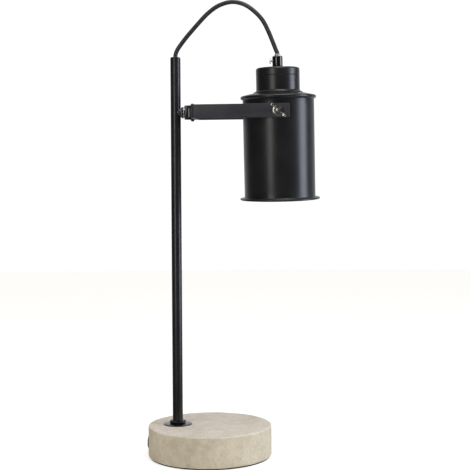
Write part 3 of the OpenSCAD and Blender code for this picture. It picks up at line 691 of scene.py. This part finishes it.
shade = turned("shade_spun", (
    [(HOLE_R, TOP_Z), (flat_r - 0.5 * MM, TOP_Z)]
    + arc(flat_r - 0.5 * MM, TOP_Z - 1.5 * MM, 1.5 * MM, 88, 72, 2)
    + arc(bead_x, bead_z, RIM_T / 2, 72, -62, 14)
    + [(SHADE_R + 0.25 * MM, rim_z - RIM_T - 0.2 * MM), (SHADE_R, rim_z - RIM_T - 0.9 * MM)]
    + even((SHADE_R, rim_z - RIM_T - 0.9 * MM), (SHADE_R, turn_z), 8 * MM)
    + arc(turn_x, turn_z, LIP_TURN, 180, 270, 8)
    + arc(LIP_R - LIP_T / 2, LIP_FOOT + LIP_T / 2, LIP_T / 2, 90, -90, 12)
    + [(LIP_R - LIP_T, LIP_FOOT), (LIP_R - LIP_T - 0.6 * MM, lip_top - WALL)]
    + arc(turn_x, turn_z, LIP_TURN + WALL, 270, 180, 8)
    + [(SHADE_R - WALL, rim_z - RIM_T), (bead_x, bead_z),
       (bead_x, rim_z - WALL - 0.6 * MM), (flat_r, TOP_Z - WALL), (HOLE_R, TOP_Z - WALL)]
), steps=160, angle=32, closed=True)
cut(shade, cylinder("bolt_holes", BOLT_BORE, 120 * MM, Vector((0, 0, 0)), along="Y", sides=48))
bpy.ops.object.shade_smooth_by_angle(angle=math.radians(32))
set_down(shade, SHADE)
fit(shade, "shade", satin_black, "black_paint", "shade")


# ---------------------------------------------------------------- neck cup
# A spun cup over the lampholder, with a flared foot that sits on the shade's top, one fine groove
# and a rounded upper edge. The nipple clamps it between the cord grip and a nut.
NECK_TOP = 52.4 * MM
NECK_EDGE = 2.8 * MM
NECK_WALL = 1.2 * MM
GROOVE_Z, GROOVE = 42.9 * MM, 0.45 * MM
NIPPLE_R = 5.05 * MM
neck = turned("neck_cup_spun", (
    [(NECK_R - NECK_WALL, TOP_Z), (NECK_R + FLARE, TOP_Z)]
    + arc(NECK_R + FLARE - 0.1 * MM, TOP_Z + 0.45 * MM, 0.45 * MM, -60, 80, 5)
    + arc(NECK_R + FLARE, TOP_Z + 0.9 * MM + FLARE, FLARE, 266, 180, 10)
    + even((NECK_R, TOP_Z + 4 * MM), (NECK_R, GROOVE_Z - GROOVE), 5 * MM)
    + [(NECK_R, GROOVE_Z - GROOVE), (NECK_R - GROOVE, GROOVE_Z), (NECK_R, GROOVE_Z + GROOVE)]
    + arc(NECK_R - NECK_EDGE, NECK_TOP - NECK_EDGE, NECK_EDGE, 0, 90, 10)
    + [(NIPPLE_R, NECK_TOP), (NIPPLE_R, NECK_TOP - NECK_WALL)]
    + arc(NECK_R - NECK_EDGE, NECK_TOP - NECK_EDGE, NECK_EDGE - NECK_WALL, 90, 0, 6)
), steps=128, angle=32, closed=True)
set_down(neck, SHADE)
fit(neck, "shade", satin_black, "black_paint", "neck_cup")


# ---------------------------------------------------------------- cord grip
# A polished phenolic barrel screwed onto the nipple, with a clear split collet that shows above it
# and a knurled nylon thumb screw at its side that clamps the cord.
softened("grip_barrel", 0.3 * MM, "shade", gloss_phenolic, "gloss_black", "cord_grip")
softened("grip_split_collet", 0.15 * MM, "shade", clear_nylon, "clear_plastic", "grip_collet")
softened("grip_thumb_screw", 0.12 * MM, "shade", white_nylon, "clear_plastic", "grip_screw")


# ---------------------------------------------------------------- lampholder and bulb
# A phenolic E27 holder with a threaded sleeve and ring, a steatite core with brass contacts and a
# domed cap. The bulb is an opal ball on a nickel-plated screw cap.
for name, node, finish, slot in (
    ("holder_threaded_sleeve", "holder_sleeve", phenolic, "black_plastic"),
    ("holder_clamp_ring", "shade_ring", phenolic, "black_plastic"),
    ("holder_domed_cap", "holder_cap", phenolic, "black_plastic"),
    ("holder_steatite_core", "holder_core", steatite, "ceramic"),
    ("holder_brass_contacts", "holder_contacts", brass, "brass"),
    ("nipple_tube", "nipple", brass, "brass"),
    ("nipple_hex_nut", "nipple_nut", brass, "brass"),
    ("bulb_screw_cap", "bulb_cap", nickel, "nickel"),
):
    softened(name, 0.15 * MM, "shade", finish, slot, node)

# Opal glass, blown: one smooth ball that runs into a short neck
BULB_R = 30 * MM
BULB_FOOT = -81.2 * MM
BULB_NECK, CAP_FOOT = 12.6 * MM, -3.25 * MM
GLASS = 1 * MM
# The glass below the cap, in millimetres: depth, and how far its outer and its inner wall are
# past the neck's radius
BULB_FLARE = [(0, 0, -1), (3, 0.2, -0.8), (8, 1.2, 0.2), (15, 3.6, 2.6), (22, 7.2, 6.1)]
bulb_mid = BULB_FOOT + BULB_R
bulb = turned("bulb_opal_ball", (
    [(BULB_NECK + outer * MM, CAP_FOOT - depth * MM) for depth, outer, _ in BULB_FLARE]
    + arc(0, bulb_mid, BULB_R, 44, -90, 30)
    + arc(0, bulb_mid, BULB_R - GLASS, -90, 44, 24)
    + [(BULB_NECK + inner * MM, CAP_FOOT - depth * MM) for depth, _, inner in reversed(BULB_FLARE)]
), steps=96, angle=60, closed=True)
set_down(bulb, SHADE)
fit(bulb, "shade", opal, "bulb_glass", "bulb_glass")


# ---------------------------------------------------------------- leads inside
# The lead runs up the pole and into the lampholder; a terminal block in the pocket joins it to
# the mains lead.
inner_pvc = moulded("soft_pvc_inner", [(0.3, "191a1b"), (0.7, "242526")], 0.4, 0.52, {"IOR": 1.53})
for name, node, body, finish, slot in (
    ("pole_inner_lead", "pole_lead", "root", inner_pvc, "cord"),
    ("head_inner_lead", "head_lead", "shade", inner_pvc, "cord"),
    ("lead_terminal_block", "lead_terminal", "root", steatite, "ceramic"),
):
    softened(name, 0.2 * MM, body, finish, slot, node)


# ---------------------------------------------------------------- pivots and wing nuts
# On each side a nickel-plated bolt goes through the shade, a coated spacer and the arm, and is
# clamped by a washer and a wing nut. A wing nut is pressed: a tapered hub with two rounded blades.
softened("pivot_bolt_pair", 0.25 * MM, "shade", nickel, "nickel", "pivot_bolts")
softened("pivot_spacer_pair", 0.2 * MM, "shade", satin_black, "black_paint", "pivot_spacers")
softened("clamp_washer_pair", 0.25 * MM, "shade", nickel, "nickel", "clamp_washers")

WING_IN = 50.7 * MM
HUB_H, HUB_FOOT, HUB_HEAD = 7 * MM, 5 * MM, 4 * MM
BLADE_W, BLADE_T, BLADE_H = 8.4 * MM, 1.6 * MM, 9.6 * MM
BLADE_X, BLADE_Z = 7.2 * MM, 5.6 * MM
CORNER_UP, CORNER_IN, CORNER_R = 4.2 * MM, 1.6 * MM, 2.3 * MM
hub = turned("wing_nut", [
    (BOLT_BORE, 0), (HUB_FOOT - 0.3 * MM, 0), (HUB_FOOT, 0.4 * MM), (HUB_FOOT - 0.1 * MM, 2 * MM),
    (HUB_HEAD + 0.1 * MM, HUB_H - 1 * MM), (HUB_HEAD - 0.5 * MM, HUB_H - 0.2 * MM),
    (HUB_HEAD - 1 * MM, HUB_H), (BOLT_BORE, HUB_H),
], steps=48, closed=True)
for side in (1, -1):
    blade = block("blade", (BLADE_W, BLADE_T, BLADE_H), (side * BLADE_X, 0, BLADE_Z))
    # The lower outer corner moves up, and the upper inner one moves out and down to the hub
    pick(blade, "VERT", lambda c: c.z < BLADE_Z and side * c.x > BLADE_X)
    bpy.ops.transform.translate(value=(0, 0, CORNER_UP))
    bpy.ops.object.mode_set(mode="OBJECT")
    pick(blade, "VERT", lambda c: c.z > BLADE_Z and side * c.x < BLADE_X)
    bpy.ops.transform.translate(value=(side * CORNER_IN, 0, -CORNER_IN))
    bpy.ops.object.mode_set(mode="OBJECT")
    pick(blade, "EDGE", lambda c: abs(c.y) < 0.1 * MM and side * c.x > 4 * MM)
    bpy.ops.mesh.bevel(offset=CORNER_R, segments=8, affect="EDGES")
    bpy.ops.object.mode_set(mode="OBJECT")
    cut(hub, blade, "UNION")
cut(hub, cylinder("thread_bore", BOLT_BORE, 40 * MM, Vector((0, 0, 0)), sides=48))
soften(hub, 0.35 * MM, 2, 50, 40)
for name, side, turn, body, node in (
    ("wing_nut_pressed_near", -1, -43, "wing_near", "wing_nut_near"),
    ("wing_nut_pressed_far", 1, 60, "wing_far", "wing_nut_far"),
):
    wing = bpy.data.objects.new(name, hub.data.copy())
    bpy.context.collection.objects.link(wing)
    set_down(wing, SHADE @ Matrix.Rotation(-side * math.pi / 2, 4, "X")
             @ Matrix.Translation((0, 0, WING_IN)) @ Matrix.Rotation(math.radians(turn), 4, "Z"))
    fit(wing, body, nickel, "nickel", node)
bpy.data.objects.remove(hub)


# ---------------------------------------------------------------- studio
# A plain pale floor, a white surround, and three soft boxes: a broad one at the left front, a tall
# cool one at the right and one overhead.
bpy.ops.object.select_all(action="DESELECT")
bpy.ops.mesh.primitive_circle_add(vertices=96, radius=6, fill_type="NGON", location=(0, 0, -0.0004))
floor = bpy.context.object
floor.name = "studio_floor"
paper, tree, shader = material("seamless_paper", {
    "Roughness": 0.9, "Specular IOR Level": 0.1,
    "Emission Color": linear("ffffff"), "Emission Strength": 0.62,
})
place = add(tree, "ShaderNodeTexCoord")
fibre = noise(tree, place, "Object", 3 * MM, 2)
tint = ramp(tree, fibre, "Fac", [(0.3, "b2b2b1"), (0.7, "b8b8b7")])
tree.links.new(tint.outputs["Color"], shader.inputs["Base Color"])
floor.data.materials.append(paper)
floor.visible_glossy = False

world = bpy.data.worlds.new("white_surround")
world.use_nodes = True
bpy.context.scene.world = world
tree = world.node_tree
tree.nodes.clear()
# The surround is white where it is seen. It lights from above and from the right, and of it only
# the far side, the top and the floor show in gloss, as a backdrop and a ceiling panel do.
path = add(tree, "ShaderNodeLightPath")
way = add(tree, "ShaderNodeTexCoord")
axes = add(tree, "ShaderNodeSeparateXYZ", [("Vector", way, "Generated")])
from_right = spread(tree, axes, "X", 0.0, 0.34, -0.9, 0.9)
from_above = spread(tree, axes, "Z", 0.0, 1.0, 0.25, 0.9)
light = add(tree, "ShaderNodeMath", [(0, from_right, "Result"), (1, from_above, "Result")],
            operation="ADD")
from_back = spread(tree, axes, "Y", 0.03, 0.85, 0.35, 0.9)
from_top = spread(tree, axes, "Z", 0.0, 1.3, 0.72, 0.95)
from_floor = spread(tree, axes, "Z", 0.7, 0.0, -0.85, -0.35)
shine = add(tree, "ShaderNodeMath", [(0, from_back, "Result"), (1, from_top, "Result")],
            operation="ADD")
shine = add(tree, "ShaderNodeMath", [(0, shine, "Value"), (1, from_floor, "Result")],
            operation="ADD")
seen = add(tree, "ShaderNodeBackground", inputs={"Color": linear("ffffff"), "Strength": 1.05})
fill = add(tree, "ShaderNodeBackground", [("Strength", light, "Value")],
           {"Color": linear("fffaf2")})
gloss = add(tree, "ShaderNodeBackground", [("Strength", shine, "Value")],
            {"Color": linear("f6f8fb")})
soft = add(tree, "ShaderNodeMixShader",
           [("Fac", path, "Is Glossy Ray"), (1, fill, 0), (2, gloss, 0)])
both = add(tree, "ShaderNodeMixShader",
           [("Fac", path, "Is Camera Ray"), (1, soft, 0), (2, seen, 0)])
add(tree, "ShaderNodeOutputWorld", [("Surface", both, 0)])

LIT_AT = Vector((0.03, 0, 0.3))
for name, at, size, watts, colour in (
    ("softbox_left", (-0.68, -1.42, 0.60), (0.44, 1.1), 8, "fffaf6"),
    ("softbox_right", (1.42, -0.20, 0.60), (0.62, 1.2), 20, "e6eeff"),
    ("softbox_top", (0.25, -0.45, 1.60), (0.8, 0.5), 9, "ffffff"),
):
    bpy.ops.object.light_add(type="AREA", location=at)
    box = bpy.context.object
    box.name = name
    box.data.shape = "RECTANGLE"
    box.data.size, box.data.size_y = size
    box.data.energy = watts
    box.data.color = linear(colour)[:3]
    box.rotation_euler = (LIT_AT - Vector(at)).to_track_quat("-Z", "Y").to_euler()
bpy.context.scene.view_settings.view_transform = "Standard"
